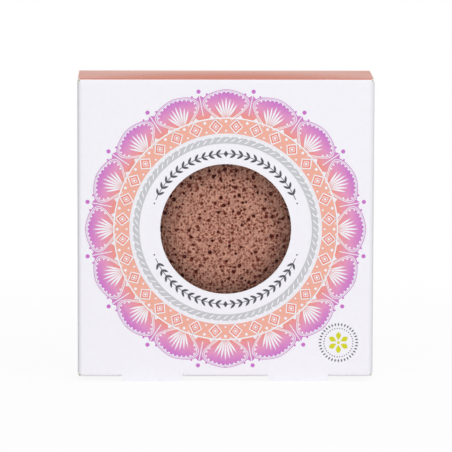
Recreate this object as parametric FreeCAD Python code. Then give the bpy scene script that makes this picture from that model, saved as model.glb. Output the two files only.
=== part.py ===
"""A round konjac face sponge in its folding carton, with a round film window in the front.

The carton is one creased board: four walls glued at a seam, and a tuck closure at the top and at the base.
Both closures are hinged on the front wall and tuck in behind the back wall. Each panel between two creases
is its own solid, and each crease is split at its middle, so a panel ends in half of the rounded fold.

Millimetres. +Z is up, the window looks along -Y, and the origin is the middle of the footprint on the table.
"""

import FreeCAD
import Part
import math
import os

from FreeCAD import Vector

# Carton, outside sizes
carton_width = 100.0
carton_depth = 30.0
carton_height = 101.3
board = 0.5
fold_radius = 0.9

# Feet that stay in the plane of the front and back walls
foot_drop = 1.7
foot_width = 20.7
foot_offset = 24.7
foot_corner = 1.0
foot_slit = 0.1

# Window in the front wall, its film and the glue that holds the film
window_radius = 22.1
window_drop = 0.25
film_size = 62.0
film_corner = 4.0
film_thickness = 0.1
film_margin = 1.5
glue_thickness = 0.1
window_glue_inset = 1.5

# Glue seam at the back left corner
seam_flap_length = 13.0
seam_flap_taper = 4.0
seam_flap_corner = 2.0
seam_flap_end_gap = 2.0
seam_glue_margin = 1.5
raw_edge_gap = 0.2

# Lid and base panels, hinged on the front wall
closure_inset = 0.05
closure_side_gap = 0.3
tuck_gap = 0.35
tuck_length = 10.0
tuck_lean = 15.0
tuck_corner = 5.0
tuck_side_taper = 1.5
back_edge_drop = 0.35

# Dust flaps, hinged on the side walls and lying under the lid or over the base
flap_length_share = 0.73
flap_gap = 0.1
flap_back_gap = 2.3
flap_shoulder = 2.5
flap_front_slope = 30.0
flap_back_slope = 5.0
flap_corner = 3.0

# Sponge, centred behind the window; the shares are of its thickness and of its dome's depth
sponge_headroom = 12.4
sponge_film_gap = 3.5
sponge_back_gap = 0.3
dome_depth_share = 0.71
dome_edge_share = 0.65
back_edge_turns = (90, 60, 30, 0)

# Tools of the model
overrun = 1.0
half_fold = 45.0
FEET = (-foot_offset, foot_offset)

# Places worked out from the sizes above
front_face = -carton_depth / 2
back_face = carton_depth / 2
side_face = carton_width / 2
base_face = foot_drop
lid_face = base_face + carton_height
base_fold = base_face + fold_radius
lid_fold = lid_face - fold_radius
fold_inner_radius = fold_radius - board
closure_half_width = side_face - fold_radius - closure_inset
closure_back = back_face - board - tuck_gap
flap_root_front = front_face + fold_radius + raw_edge_gap + closure_inset
flap_root_back = back_face - board - flap_back_gap
flap_length = carton_depth * flap_length_share
window_height = carton_height / 2 - window_drop
window_z = base_face + window_height
sponge_radius = window_height - sponge_headroom
seam_inset = board + glue_thickness

X_AXIS = Vector(1, 0, 0)
Y_AXIS = Vector(0, 1, 0)
Z_AXIS = Vector(0, 0, 1)


def turned(radius, degrees):
    """Point at that radius, turned clockwise from the local Y axis."""
    angle = math.radians(degrees)
    return Vector(radius * math.sin(angle), radius * math.cos(angle), 0)


def arc(centre, radius, start, end):
    """Arc about a centre, between two turns from the local Y axis."""
    middle = (start + end) / 2
    points = [centre + turned(radius, degrees) for degrees in (start, middle, end)]
    return Part.Arc(*points).toShape()


def line(start, end):
    return Part.LineSegment(start, end).toShape()


def strip_outline(length, start_turn, end_turn):
    """Edge-on outline of a board strip: a flat run with part of a fold at either end.

    The outer face lies on the local X axis and the board below it. A turn of zero is a cut end.
    """
    start_centre = Vector(0, -fold_radius, 0)
    end_centre = Vector(length, -fold_radius, 0)
    edges = []
    for radius in (fold_radius, fold_inner_radius):
        run_start = start_centre + turned(radius, 0)
        run_end = end_centre + turned(radius, 0)
        edges.append(line(run_start, run_end))
        if start_turn:
            edges.append(arc(start_centre, radius, -start_turn, 0))
        if end_turn:
            edges.append(arc(end_centre, radius, 0, end_turn))
    for centre, turn in ((start_centre, -start_turn), (end_centre, end_turn)):
        edges.append(line(centre + turned(fold_radius, turn), centre + turned(fold_inner_radius, turn)))
    return Part.Face(Part.Wire(Part.__sortEdges__(edges)))


def strip(length, width, start_turn=0, end_turn=0):
    """Board strip centred across its width, which runs along the local Z axis."""
    solid = strip_outline(length, start_turn, end_turn).extrude(Z_AXIS * width)
    solid.translate(Z_AXIS * (-width / 2))
    return solid


def rounded_outline(corners):
    """Closed outline in the local X-Z plane, from (along, across, corner radius) in order."""
    points = [Vector(along, 0, across) for along, across, _ in corners]
    radii = [radius for _, _, radius in corners]
    edges = []
    stops = []
    for index, point in enumerate(points):
        before = (points[index - 1] - point).normalize()
        after = (points[(index + 1) % len(points)] - point).normalize()
        half_angle = before.getAngle(after) / 2
        if radii[index] == 0:
            stops.append((point, point))
            continue
        reach = radii[index] / math.tan(half_angle)
        bisector = (before + after).normalize()
        centre = point + bisector * (radii[index] / math.sin(half_angle))
        start = point + before * reach
        end = point + after * reach
        edges.append(Part.Arc(start, centre - bisector * radii[index], end).toShape())
        stops.append((start, end))
    for index, (_, end) in enumerate(stops):
        edges.append(line(end, stops[(index + 1) % len(stops)][0]))
    return Part.Face(Part.Wire(Part.__sortEdges__(edges)))


def blade(corners, top=0.0, bottom=-board):
    """Flat plate of that outline, between two heights above the strip's outer face."""
    solid = rounded_outline(corners).extrude(Y_AXIS * (top - bottom))
    solid.translate(Y_AXIS * bottom)
    return solid


def trimmed(solid, corners):
    """The part of a strip inside a rounded outline, folds included."""
    return solid.common(blade(corners, overrun, -fold_radius - overrun))


def placed(solid, origin, run, outward):
    """Moves a local solid so that its flat starts at origin, runs along run and faces outward."""
    across = run.cross(outward)
    rotation = FreeCAD.Rotation(run, outward, across, "XYZ")
    moved = solid.copy()
    moved.Placement = FreeCAD.Placement(origin, rotation) * solid.Placement
    return moved


def box(low, high):
    size = high - low
    return Part.makeBox(size.x, size.y, size.z, low)


def joined(*solids):
    """One solid from overlapping or touching ones, without the seams between them."""
    whole = solids[0].multiFuse(list(solids[1:])).removeSplitter()
    return whole.Solids[0] if len(whole.Solids) == 1 else whole


def foot_outline(top):
    """Outline of one foot, from a height above the table down to it: X runs down, Z across."""
    half = foot_width / 2
    return [(0, -half, 0), (top, -half, foot_corner), (top, half, foot_corner), (0, half, 0)]


def feet(face, outward, top):
    """Both feet of a wall, hanging from a height above the table."""
    plate = blade(foot_outline(top))
    return [placed(plate, Vector(x, face, top), -Z_AXIS, outward) for x in FEET]


def front_panel():
    """Front wall: four half folds round it, the round window, and two feet cut from the base panel."""
    wall_height = lid_fold - base_fold
    wall_run = carton_width - 2 * fold_radius
    middle = Vector(0, front_face, (lid_fold + base_fold) / 2)
    side_folds = placed(
        strip(wall_run, wall_height, half_fold, half_fold),
        middle - X_AXIS * (wall_run / 2), X_AXIS, -Y_AXIS,
    )
    closure_folds = placed(
        strip(wall_height, 2 * closure_half_width, half_fold, half_fold),
        middle - Z_AXIS * (wall_height / 2), Z_AXIS, -Y_AXIS,
    )
    panel = joined(side_folds, closure_folds)
    for x in FEET:
        half_slot = foot_width / 2 + foot_slit
        low = Vector(x - half_slot, front_face - overrun, base_face - overrun)
        high = Vector(x + half_slot, front_face + fold_radius + overrun, base_fold)
        panel = panel.cut(box(low, high))
    panel = joined(panel, *feet(front_face, -Y_AXIS, base_fold))
    hole = Part.makeCylinder(
        window_radius, board + 2 * overrun, Vector(0, front_face - overrun, window_z), Y_AXIS
    )
    return panel.cut(hole)


def side_flap_face(top):
    """Height of a dust flap's outer face, just inside the lid or the base panel."""
    inset = board + flap_gap
    return lid_face - inset if top else base_face + inset


def flap_root():
    """Front and back ends of a dust flap's crease, as (middle, width) along Y."""
    return (flap_root_front + flap_root_back) / 2, flap_root_back - flap_root_front


def side_wall(run_start, run_end, run, outward, start_turn, end_turn):
    """Side wall between two heights, with a half fold for the dust flap at its top and base."""
    top = side_flap_face(True) - fold_radius
    bottom = side_flap_face(False) + fold_radius
    root_middle, root_width = flap_root()
    length = abs(run_end - run_start)
    walls = placed(
        strip(length, top - bottom, start_turn, end_turn),
        outward * side_face + Y_AXIS * run_start + Z_AXIS * ((top + bottom) / 2), run, outward,
    )
    flaps = placed(
        strip(top - bottom, root_width, half_fold, half_fold),
        outward * side_face + Y_AXIS * root_middle + Z_AXIS * bottom, Z_AXIS, outward,
    )
    return joined(walls, flaps)


def right_side_panel():
    return side_wall(
        front_face + fold_radius, back_face - fold_radius, Y_AXIS, X_AXIS, half_fold, half_fold
    )


def left_side_panel():
    """The seam wall: its back end is a cut edge that covers the glue flap."""
    return side_wall(
        back_face - raw_edge_gap, front_face + fold_radius, -Y_AXIS, -X_AXIS, 0, half_fold
    )


def back_panel():
    """Back wall: cut edges at the top and base, two feet, and the crease of the glue flap at its left."""
    top = lid_face - back_edge_drop
    bottom = base_face + back_edge_drop
    wall_run = carton_width - 2 * fold_radius - seam_inset
    start = Vector(side_face - fold_radius, back_face, (top + bottom) / 2)
    wall = placed(strip(wall_run, top - bottom, half_fold, half_fold), start, -X_AXIS, Y_AXIS)
    return joined(wall, *feet(back_face, Y_AXIS, bottom))


def seam_flap_outline(margin=0.0):
    """Outline of the glue flap, tapered towards its free end, or of the glue inside its edges."""
    half_root = (side_flap_face(True) - side_flap_face(False)) / 2 - seam_flap_end_gap - fold_radius - margin
    half_tip = half_root - seam_flap_taper
    start = margin if margin else -fold_radius - overrun
    tip = seam_flap_length - margin
    return [
        (start, -half_root, 0),
        (margin, -half_root, 0),
        (tip, -half_tip, seam_flap_corner),
        (tip, half_tip, seam_flap_corner),
        (margin, half_root, 0),
        (start, half_root, 0),
    ]


def seam_place(solid, inset):
    """Puts a local solid of the seam against the inside of the left wall."""
    middle = (side_flap_face(True) + side_flap_face(False)) / 2
    return placed(solid, Vector(inset - side_face, back_face - fold_radius, middle), -Y_AXIS, -X_AXIS)


def glue_flap():
    """Seam flap, hinged on the back wall and glued inside the left wall."""
    outline = seam_flap_outline()
    width = outline[-1][1] - outline[0][1]
    return seam_place(trimmed(strip(seam_flap_length, width, half_fold), outline), seam_inset)


def seam_glue():
    outline = seam_flap_outline(seam_glue_margin)
    return seam_place(blade(outline[1:-1], 0.0, -glue_thickness), board)


def film_plane():
    """Outer face of the film, behind the front wall and the glue."""
    return front_face + board + glue_thickness


def window_film():
    """Rounded square of clear film behind the window."""
    half = film_size / 2
    corners = [(side * half, end * half, film_corner) for side, end in ((-1, -1), (1, -1), (1, 1), (-1, 1))]
    plate = blade(corners, 0.0, -film_thickness)
    return placed(plate, Vector(0, film_plane(), window_z), X_AXIS, -Y_AXIS)


def window_glue():
    """Ring of glue between the film and the front wall, round the window."""
    outer = film_size / 2 - film_margin
    inner = window_radius + window_glue_inset
    centre = Vector(0, film_plane() - glue_thickness, window_z)
    ring = Part.makeCylinder(outer, glue_thickness, centre, Y_AXIS)
    return ring.cut(Part.makeCylinder(inner, glue_thickness, centre, Y_AXIS))


def tuck_turn():
    """Half the turn of the tuck fold, which goes past square because the tab leans inwards."""
    return (2 * half_fold + tuck_lean) / 2


def closure_side(top):
    """Outward direction and height of the lid's or the base panel's outer face."""
    return (Z_AXIS, lid_face) if top else (-Z_AXIS, base_face)


def closure_length():
    """Flat run of the lid or base panel, between its two folds."""
    return closure_back - front_face - 2 * fold_radius


def closure_flat():
    """The closure's flat, whose sides reach out over the creases of the dust flaps."""
    half = side_face - closure_side_gap
    run = closure_length()
    return blade([(0, -half, 0), (run, -half, 0), (run, half, 0), (0, half, 0)])


def closure_panel(top):
    """Lid or base panel: hinge fold at the front wall, wider flat, tuck fold at the back."""
    outward, face = closure_side(top)
    panel = strip(closure_length(), 2 * closure_half_width, half_fold, tuck_turn())
    panel = joined(panel, closure_flat())
    if not top:
        crease_length = (fold_radius + fold_inner_radius) / 2 * math.radians(2 * half_fold)
        notch = foot_drop + fold_radius - crease_length + foot_slit
        for x in FEET:
            half_slot = foot_width / 2 + foot_slit
            low = Vector(-fold_radius - overrun, -fold_radius - overrun, x - half_slot)
            high = Vector(notch, overrun, x + half_slot)
            panel = panel.cut(box(low, high))
    return placed(panel, Vector(0, front_face + fold_radius, face), Y_AXIS, outward)


def tuck_tab(top):
    """Tab on the lid or base panel that tucks in behind the back wall, leaning inwards."""
    outward, face = closure_side(top)
    lean = math.radians(tuck_lean)
    half_root = closure_half_width
    half_tip = half_root - tuck_side_taper
    start = -fold_radius - overrun
    outline = [
        (start, -half_root, 0),
        (0, -half_root, 0),
        (tuck_length, -half_tip, tuck_corner),
        (tuck_length, half_tip, tuck_corner),
        (0, half_root, 0),
        (start, half_root, 0),
    ]
    tab = trimmed(strip(tuck_length, 2 * closure_half_width, tuck_turn()), outline)
    facing = Y_AXIS * math.cos(lean) - outward * math.sin(lean)
    down = -Y_AXIS * math.sin(lean) - outward * math.cos(lean)
    fold_centre = Vector(0, closure_back - fold_radius, face) - outward * fold_radius
    return placed(tab, fold_centre + facing * fold_radius, down, facing)


def dust_flap(top, outward):
    """Flap from a side wall, tapered at the front so that it clears the lid as both rise."""
    root_middle, root_width = flap_root()
    facing = Z_AXIS if top else -Z_AXIS
    across = (-outward).cross(facing)
    front = -root_width / 2
    back = root_width / 2
    front_rise = flap_length * math.tan(math.radians(flap_front_slope))
    back_fall = flap_length * math.tan(math.radians(flap_back_slope))
    start = -fold_radius - overrun
    outline = [
        (start, front, 0),
        (0, front, 0),
        (flap_length, front + front_rise, flap_corner),
        (flap_length, back - flap_shoulder - back_fall, flap_corner),
        (flap_shoulder, back - flap_shoulder, 0),
        (0, back, 0),
        (start, back, 0),
    ]
    if across.y < 0:
        outline = [(along, -side, radius) for along, side, radius in reversed(outline)]
    flap = trimmed(strip(flap_length, root_width, half_fold), outline)
    origin = outward * (side_face - fold_radius) + Y_AXIS * root_middle + Z_AXIS * side_flap_face(top)
    return placed(flap, origin, -outward, facing)


def sponge():
    """Puff turned about the Y axis: a dome towards the window and a flat back with a soft edge."""
    dome_tip = film_plane() + film_thickness + sponge_film_gap
    flat_back = back_face - board - sponge_back_gap
    dome_depth = (flat_back - dome_tip) * dome_depth_share
    rim_plane = dome_tip + dome_depth
    edge_radius = dome_depth * dome_edge_share
    reach = sponge_radius - edge_radius
    rise = dome_depth - edge_radius
    crown_radius = edge_radius + (rise**2 + reach**2) / (2 * rise)
    crown_turn = 180 - math.degrees(math.atan2(reach, crown_radius - dome_depth))
    crown = arc(Vector(0, dome_tip + crown_radius, 0), crown_radius, 180, crown_turn)
    dome_edge = arc(Vector(reach, rim_plane, 0), edge_radius, crown_turn, 90)
    back_radius = flat_back - rim_plane
    back_centre = Vector(sponge_radius - back_radius, rim_plane, 0)
    back_points = [back_centre + turned(back_radius, turn) for turn in back_edge_turns]
    back_points += [Vector(0, flat_back, 0), Vector(0, dome_tip, 0)]
    outline = [crown, dome_edge] + Part.makePolygon(back_points).Edges
    half_section = Part.Face(Part.Wire(Part.__sortEdges__(outline)))
    solid = half_section.revolve(Vector(), Y_AXIS, 360)
    solid.translate(Z_AXIS * window_z)
    return solid


NODES = {
    "front_panel": front_panel,
    "right_side_panel": right_side_panel,
    "left_side_panel": left_side_panel,
    "back_panel": back_panel,
    "glue_flap": glue_flap,
    "seam_glue": seam_glue,
    "window_film": window_film,
    "window_glue": window_glue,
    "lid_panel": lambda: closure_panel(True),
    "lid_tuck_tab": lambda: tuck_tab(True),
    "lid_dust_flap_right": lambda: dust_flap(True, X_AXIS),
    "lid_dust_flap_left": lambda: dust_flap(True, -X_AXIS),
    "base_panel": lambda: closure_panel(False),
    "base_tuck_tab": lambda: tuck_tab(False),
    "base_dust_flap_right": lambda: dust_flap(False, X_AXIS),
    "base_dust_flap_left": lambda: dust_flap(False, -X_AXIS),
    "sponge": sponge,
}


def main():
    os.makedirs("parts", exist_ok=True)
    for name, make in NODES.items():
        shape = make()
        shape.exportStep(os.path.join("parts", name + ".step"))
        print(f"{name}: {len(shape.Solids)} solid, {shape.Volume:.1f} mm3, valid {shape.isValid()}")


if __name__ == "__main__":
    main()
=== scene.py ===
"""Looks of a round konjac sponge in its folding carton with a film window.

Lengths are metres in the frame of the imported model: +Z is up and the window looks along -Y.
"""

import math

import bmesh
import bpy
import numpy as np
from bpy.props import FloatProperty, FloatVectorProperty, IntProperty, PointerProperty
from bpy.types import Operator, Panel, PropertyGroup
from mathutils import Matrix, Vector


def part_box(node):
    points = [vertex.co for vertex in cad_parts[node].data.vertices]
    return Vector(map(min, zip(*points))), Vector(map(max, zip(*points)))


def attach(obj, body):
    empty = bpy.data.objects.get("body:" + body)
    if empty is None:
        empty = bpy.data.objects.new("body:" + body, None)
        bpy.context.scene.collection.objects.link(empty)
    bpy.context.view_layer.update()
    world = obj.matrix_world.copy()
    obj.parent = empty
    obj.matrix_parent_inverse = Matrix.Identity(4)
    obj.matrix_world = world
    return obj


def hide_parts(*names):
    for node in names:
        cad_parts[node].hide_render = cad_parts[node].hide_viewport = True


bl_info = {
    "name": "Boxed konjac sponge",
    "version": (1, 0, 0),
    "blender": (4, 5, 0),
    "location": "View3D > Sidebar > Sponge box",
    "description": "Dresses a carton of creased board, its print and the sponge behind its window",
    "category": "Object",
}

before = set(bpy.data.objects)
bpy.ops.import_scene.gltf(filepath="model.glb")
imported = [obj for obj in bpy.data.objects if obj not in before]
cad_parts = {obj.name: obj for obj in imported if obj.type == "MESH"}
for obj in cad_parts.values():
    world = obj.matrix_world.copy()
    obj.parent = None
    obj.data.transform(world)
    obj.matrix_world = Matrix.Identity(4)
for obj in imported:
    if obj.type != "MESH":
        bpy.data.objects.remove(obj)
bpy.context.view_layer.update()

MM = 0.001
X_AXIS, Y_AXIS, Z_AXIS = np.eye(3)
WHITE = (1, 1, 1)
FRONT_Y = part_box("front_panel")[0][1]
BACK_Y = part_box("back_panel")[1][1]
WIDTH = 2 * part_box("right_side_panel")[1][0]
WINDOW_Z = sum(corner[2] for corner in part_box("window_film")) / 2
SPONGE_LOW, SPONGE_HIGH = (np.array(corner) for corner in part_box("sponge"))

# Widest gaps between a board's points, and how near two places count as one
FINE_STEP, STEP, COARSE_STEP = 0.9 * MM, 2 * MM, 4 * MM
SAME = 0.001 * MM
# Each board at a square crease carries half of its quarter turn
HALF_CREASE = math.pi / 4
# Reach of the crease strip on both sides of a crease's middle, which holds the painted crease shade and the
# cracks
CREASE_STRIP = 1.5 * MM
# A half width that no board has, so that nothing is wound that way
ENDLESS = 1.0
# Directions in degrees of the nibs that the cutting die left, and the spread of each in radians
NIB_TURNS = (58, 183.5, 301)
NIB_SPREAD = 0.012


def linear(hex_colour):
    """Linear red, green and blue of an sRGB hex colour."""
    value = np.array([int(hex_colour[start:start + 2], 16) for start in (1, 3, 5)]) / 255
    value = np.where(value <= 0.04045, value / 12.92, ((value + 0.055) / 1.055) ** 2.4)
    return tuple(float(part) for part in value)


def number(name, default, description, **more):
    """Property for a share, a power or a place."""
    return FloatProperty(name=name, description=description, default=default, **more)


def length(name, default, description):
    """Property for a length that isn't below zero."""
    return number(name, default, description, min=0, unit="LENGTH", precision=5)


def angle(name, degrees, description):
    """Property for an angle, given in degrees."""
    return number(name, math.radians(degrees), description, subtype="ANGLE")


def colour(name, default, description):
    """Property for a colour, given as an sRGB hex value."""
    return FloatVectorProperty(
        name=name, description=description, default=linear(default), min=0, max=1, subtype="COLOR"
    )


class CartonSizes(PropertyGroup):
    """Sizes of the creased board and of what is cut out of it."""

    board: length("Board", 0.5 * MM, "Thickness of the folding boxboard")
    fold_radius: length("Fold radius", 0.9 * MM, "Outer radius of a crease when it is folded")
    base_fold: length("Base fold height", 2.6 * MM, "Height of the lower end of the front wall's flat")
    lid_fold: length("Lid fold height", 102.1 * MM, "Height of the upper end of the front wall's flat")
    back_low: length("Back wall, lower edge", 2.05 * MM, "Height of the back wall's lower edge")
    back_high: length("Back wall, upper edge", 102.65 * MM, "Height of the back wall's upper edge")
    side_gap: length("Left wall gap", 0.2 * MM, "Distance of the left wall's back edge from the back face")
    window_radius: length("Window radius", 22.1 * MM, "Radius of the round cut-out")
    nib: length("Die nib", 0.16 * MM, "How far a nib left by the cutting die stands into the window")
    foot_offset: length("Foot offset", 24.7 * MM, "Distance of a foot's middle from the carton's middle")
    foot_width: length("Foot width", 20.7 * MM, "Width of a foot")
    foot_slit: length("Foot slit", 0.1 * MM, "Width of the cut beside a foot")
    foot_corner: length("Foot corner", 1.0 * MM, "Radius of a foot's corners")
    bow: length("Bow", 0.22 * MM, "How far the middle of the front wall swells outwards")
    side_bow: length("Side bow", 0.12 * MM, "How far the middle of a side wall swells outwards")
    back_bow: length("Back bow", 0.15 * MM, "How far the middle of the back wall swells outwards")
    lid_bow: length("Lid bow", 1.1 * MM, "How far the middle of the lid swells outwards")
    base_bow: length("Base bow", 0.2 * MM, "How far the middle of the base swells outwards")
    bow_skew: number("Bow skew", 0.6, "How much steeper the lid and base swell at the front", min=0, max=1)
    closure_half: length("Closure half width", 49.05 * MM, "Half the width of the lid's and base's folds")
    flat_half: length("Flat half width", 49.7 * MM, "Half the width of their flats, over the side creases")
    closure_back: length("Closure back", 14.15 * MM, "Distance of the tuck fold's back from the middle")
    tuck_length: length("Tuck length", 10.0 * MM, "Length of a tuck tab past its crease")
    tuck_corner: length("Tuck corner", 5.0 * MM, "Radius of a tuck tab's corners")
    tuck_taper: length("Tuck taper", 1.5 * MM, "How far each side of a tuck tab is drawn in at its tip")
    tuck_lean: angle("Tuck lean", 15, "How far a tuck tab is turned past square, away from the back wall")
    flap_length: length("Flap length", 21.9 * MM, "Length of a dust flap past its crease")
    flap_inset: length("Flap inset", 0.6 * MM, "Depth of a dust flap below the face that covers it")
    flap_front_gap: length("Flap gap, front", 1.15 * MM, "Distance of a dust flap's root from the front face")
    flap_back_gap: length("Flap gap, back", 2.8 * MM, "Distance of a dust flap's root from the back face")
    flap_slope: angle("Flap slope", 30, "Slope of a dust flap's front edge")
    flap_back_slope: angle("Flap back slope", 5, "Slope of a dust flap's back edge past its shoulder")
    flap_shoulder: length("Flap shoulder", 2.5 * MM, "Size of the slanted shoulder at a dust flap's back")
    flap_corner: length("Flap corner", 3.0 * MM, "Radius of a dust flap's corners")
    seam_length: length("Seam flap length", 13.0 * MM, "Length of the glue flap past its crease")
    seam_root: length("Seam flap root", 47.15 * MM, "Half the glue flap's height at its crease")
    seam_tip: length("Seam flap tip", 43.15 * MM, "Half the glue flap's height at its tip")
    seam_corner: length("Seam flap corner", 2.0 * MM, "Radius of the glue flap's corners")
    seam_inset: length("Seam inset", 0.6 * MM, "Depth of the glue flap below the left wall's face")


class PrintSizes(PropertyGroup):
    """Sizes of the ornament that is printed round the window and in the corner."""

    ink_step: length("Ink step", 0.02 * MM, "Height of one ink above the next, so that they don't flicker")
    line: length("Fine line", 0.24 * MM, "Width of the finest lines")
    shells: IntProperty(
        name="Shells", description="Number of shells round the ring", default=16, min=6, max=32
    )
    shell_tip: length("Shell tip", 47.4 * MM, "Radius that the shells reach")
    shell_width: length("Shell width", 16.6 * MM, "Width of a shell")
    shell_root: length("Shell root", 2.2 * MM, "How far shells and leaves reach under the band of lozenges")
    leaf_tip: length("Leaf tip", 46.2 * MM, "Radius that the leaves between the shells reach")
    leaf_width: length("Leaf width", 8.0 * MM, "Width of a leaf between the shells")
    blend_start: length("Blend start", 38.0 * MM, "Radius up to which shells and leaves are coral")
    blend_middle: length("Blend middle", 42.5 * MM, "Radius at which they are pink")
    blend_end: length("Blend end", 46.5 * MM, "Radius from which they are orchid")
    grey_inner: length("Grey ring, inside", 29.1 * MM, "Inner radius of the grey rope ring")
    grey_outer: length("Grey ring, outside", 31.3 * MM, "Outer radius of the grey rope ring")
    band_gap: length("Band gap", 1.1 * MM, "Room between the rope ring and the band of lozenges")
    band_outer: length("Lozenge band, outside", 37.6 * MM, "Outer radius of the band of lozenges")
    lozenge_length: length("Lozenge length", 4.7 * MM, "Length of a lozenge, away from the window")
    lozenge_width: length("Lozenge width", 4.3 * MM, "Width of a lozenge")
    vine_radius: length("Vine radius", 25.6 * MM, "Radius of the two leafy arcs next to the window")
    vine_pairs: IntProperty(
        name="Leaf pairs", description="Pairs of leaves on each half of a leafy arc",
        default=11, min=3, max=30,
    )
    badge_x: length("Rosette across", 38.3 * MM, "Distance of the corner rosette right of the window")
    badge_drop: length("Rosette drop", 38.8 * MM, "Distance of the corner rosette below the window")
    badge_radius: length("Rosette radius", 6.8 * MM, "Outer radius of the corner rosette")


class SpongeSizes(PropertyGroup):
    """Sizes of the sponge and its pores."""

    rim_share: number("Rim place", 0.71, "Share of the depth at which the sponge is widest", min=0.3, max=0.9)
    spacing: length("Point spacing", 0.22 * MM, "Distance between points of the sponge's mesh")
    large_pore: length("Large pore", 0.74 * MM, "Radius of the largest bubbles")
    large_cell: length("Large pore spacing", 2.0 * MM, "Side of the cubes that hold a large bubble each")
    middle_pore: length("Middle pore", 0.42 * MM, "Radius of the common bubbles")
    middle_cell: length("Middle pore spacing", 1.25 * MM, "Side of the cubes that hold a common bubble each")
    crowding: number("Crowding", 0.85, "Share of the cubes that hold a bubble", min=0, max=1)
    swell: length("Swell", 0.3 * MM, "Height of the soft hills and hollows between pores")


class Colours(PropertyGroup):
    """Colours of board, inks, glue, film and sponge."""

    white: colour("White board", "#F3F2F8", "Clay-coated outside of the board")
    liner: colour("Board inside", "#E6E1D6", "Uncoated inside of the board")
    core: colour("Cut edge", "#EFEBE1", "Fibres at a cut edge")
    coral: colour("Coral", "#CC6339", "Solid coral print on the lid and the base")
    # Painted shade: the coral is painted deeper along its creases, where its sheen drops
    coral_crease_shade: colour("Coral fold", "#D0582B", "Coral print at its creases, where it looks deeper")
    ring_coral: colour("Ring coral", "#EC8F7E", "Coral ink next to the window")
    pale_coral: colour("Pale coral", "#EFAD9B", "Tint of the coral ink behind the lozenges")
    pink: colour("Pink", "#E08FBE", "Middle of the shells")
    orchid: colour("Orchid", "#C667C6", "Tips of the shells")
    grey: colour("Grey", "#C6C7CC", "Rope ring")
    dark: colour("Dark grey", "#4D4C57", "Leafy arcs")
    lime: colour("Yellow green", "#D2D20A", "Petals of the corner rosette")
    terracotta: colour("Terracotta", "#D29E8B", "Sponge between its pores")
    # Darker red of the pores, partly their own colour and partly painted shade, also used for the painted pits
    # and pores
    pore: colour("Pore", "#924A3A", "Wall of a pore")
    # Painted shade: a darker colour for the bottom of a large pore
    deep_pore_shade: colour("Deep pore", "#6C291C", "Bottom of a large pore")
    glue: colour("Glue", "#E5DCC0", "Dried glue")
    film: colour("Film", "#F4F6F8", "Clear cellulose film")


class StageSettings(PropertyGroup):
    """Camera, lamps and floor."""

    distance: length("Camera distance", 1.437, "Distance from the camera to the carton's middle")
    elevation: angle("Elevation", 7.8, "Height of the camera above the horizon")
    azimuth: angle("Azimuth", -1.1546, "Turn of the camera round the carton")
    roll: angle("Roll", 0.1645, "Turn of the camera about its own axis")
    lens: number("Lens", 335.7, "Focal length for a 36 mm sensor", subtype="DISTANCE_CAMERA")
    aim_x: number("Aim across", 0.4 * MM, "Point that the camera looks at", unit="LENGTH")
    aim_z: number("Aim height", 51.1 * MM, "Height that the camera looks at", unit="LENGTH")
    sky: number("Sky", 0.5, "Strength of the even light from all round", min=0)
    left: number("Left", 7.425, "Power of the soft box on the left, in watts", min=0)
    right: number("Right", 13.365, "Power of the soft box on the right, in watts", min=0)
    top: number("Top", 2.8, "Power of the soft box overhead, in watts", min=0)
    floor: length("Floor", 6.0, "Half the width of the floor")
    fade_start: length("Fade start", 60 * MM, "Distance from the middle at which the floor starts to fade")
    fade_end: length("Fade end", 300 * MM, "Distance at which the floor has faded to plain white")
    shadow: number("Shadow", 0.08, "How much of the floor's shadow the camera sees", min=0, max=1)


# Materials


def node(tree, kind, inputs=None, stops=None, out=0, **settings):
    """Adds a shader node with its settings, inputs and colour stops, and gives the output that is named.

    An input that is a socket is linked, and any other one is set, a colour with an alpha of one.
    """
    made = tree.nodes.new("ShaderNode" + kind)
    for key, value in settings.items():
        setattr(made, key, value)
    for key, value in (inputs or {}).items():
        socket = made.inputs[key]
        if isinstance(value, bpy.types.NodeSocket):
            tree.links.new(value, socket)
        else:
            socket.default_value = (*value, 1) if socket.type == "RGBA" else value
    if stops:
        ramp = made.color_ramp.elements
        while len(ramp) < len(stops):
            ramp.new(0.5)
        for element, (place, tint) in zip(ramp, stops):
            element.position = place
            element.color = (*tint, 1)
    return made.outputs[out] if len(made.outputs) else None


# Output and setting of a Mix node for two colours, which are its inputs 6 and 7
BLEND = {"out": 2, "data_type": "RGBA"}


def shade(tint, factor):
    """That colour, lighter or darker by a factor."""
    return tuple(min(1.0, part * factor) for part in tint)


def material(name):
    """An empty material with its node tree, and the coordinates that its patterns lie on."""
    made = bpy.data.materials.new(name)
    made.use_nodes = True
    tree = made.node_tree
    tree.nodes.clear()
    return made, tree, node(tree, "TexCoord", out="Object")


def surfaced(made, base, roughness, ior, height, strength, depth, more=None):
    """Ends a material with its surface.

    A height gives it relief of that depth, and more sets what else its shader has.
    """
    tree = made.node_tree
    bump = node(tree, "Bump", {"Height": height, "Strength": strength, "Distance": depth})
    inputs = {"Base Color": base, "Roughness": roughness, "IOR": ior, "Normal": bump}
    shader = node(tree, "BsdfPrincipled", inputs | (more or {}))
    node(tree, "OutputMaterial", {"Surface": shader})
    return made


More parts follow.
